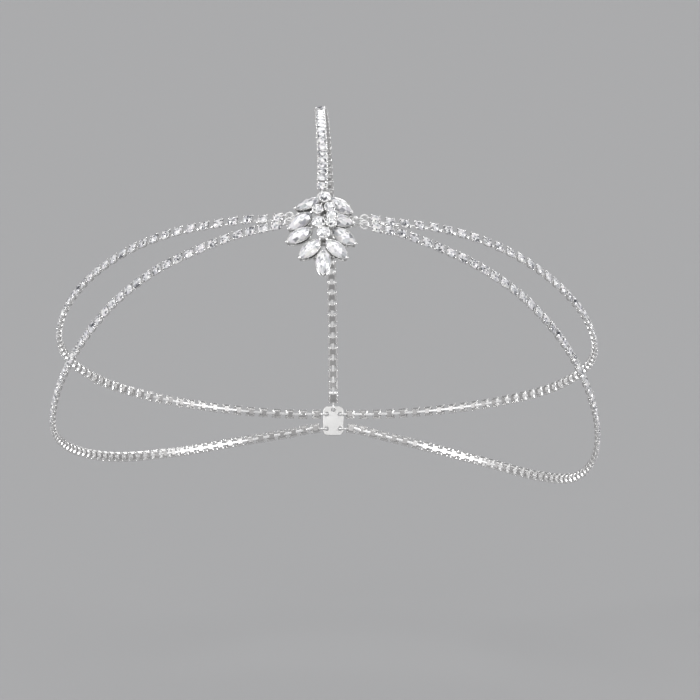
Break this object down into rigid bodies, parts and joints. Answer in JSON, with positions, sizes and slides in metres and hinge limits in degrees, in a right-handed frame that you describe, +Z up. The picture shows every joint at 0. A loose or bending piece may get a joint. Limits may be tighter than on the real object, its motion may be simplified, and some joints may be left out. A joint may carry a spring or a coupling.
{
  "type": "head chain tiara",
  "caption": "Silver-toned head chain worn as a tiara: a leaf spray of clear stones at the hairline, cup-chain strands round both sides of the head and one over the crown.",
  "frame": {"origin": "top of the wearer's head, level with the inner face of the crown strand where it crosses the highest point of the head", "axes": "+X to the right as the wearer is looked at from the front (the wearer's left), -Y the way the wearer faces, +Z up"},
  "size_m": [0.1584, 0.1838, 0.1154],
  "materials": {
    "silver_setting": "bright rhodium-like plating on cast cups, darker in the gaps under the stones",
    "silver_links": "bright plated round wire",
    "silver_plate": "plain plated sheet, lightly brushed",
    "cup_chain": "bright plated four-claw cups with clear cut stones and flat links",
    "leaf_crystal": "clear cut glass with a mirror-foiled back",
    "round_crystal": "clear cut glass with a mirror-foiled back"
  },
  "bodies": {
    "root": {"ornament_setting": "silver_setting", "petal_bottom": "leaf_crystal", "petal_low_left": "leaf_crystal", "petal_low_right": "leaf_crystal", "petal_side_left": "leaf_crystal", "petal_side_right": "leaf_crystal", "petal_high_left": "leaf_crystal", "petal_high_right": "leaf_crystal", "petal_top_left": "leaf_crystal", "petal_top_right": "leaf_crystal", "round_crest": "round_crystal", "round_high_left": "round_crystal", "round_high_right": "round_crystal", "round_mid_right": "round_crystal", "round_low_right": "round_crystal", "round_mid_left": "round_crystal", "round_foot": "round_crystal", "ring_left_upper": "silver_links", "ring_left_lower": "silver_links", "ring_right_upper": "silver_links", "ring_right_lower": "silver_links", "ring_crest": "silver_links", "strand_left_upper": "cup_chain", "strand_left_lower": "cup_chain", "strand_right_upper": "cup_chain", "strand_right_lower": "cup_chain", "strand_crown": "cup_chain", "back_plate": "silver_plate"}
  },
  "joints": []
}
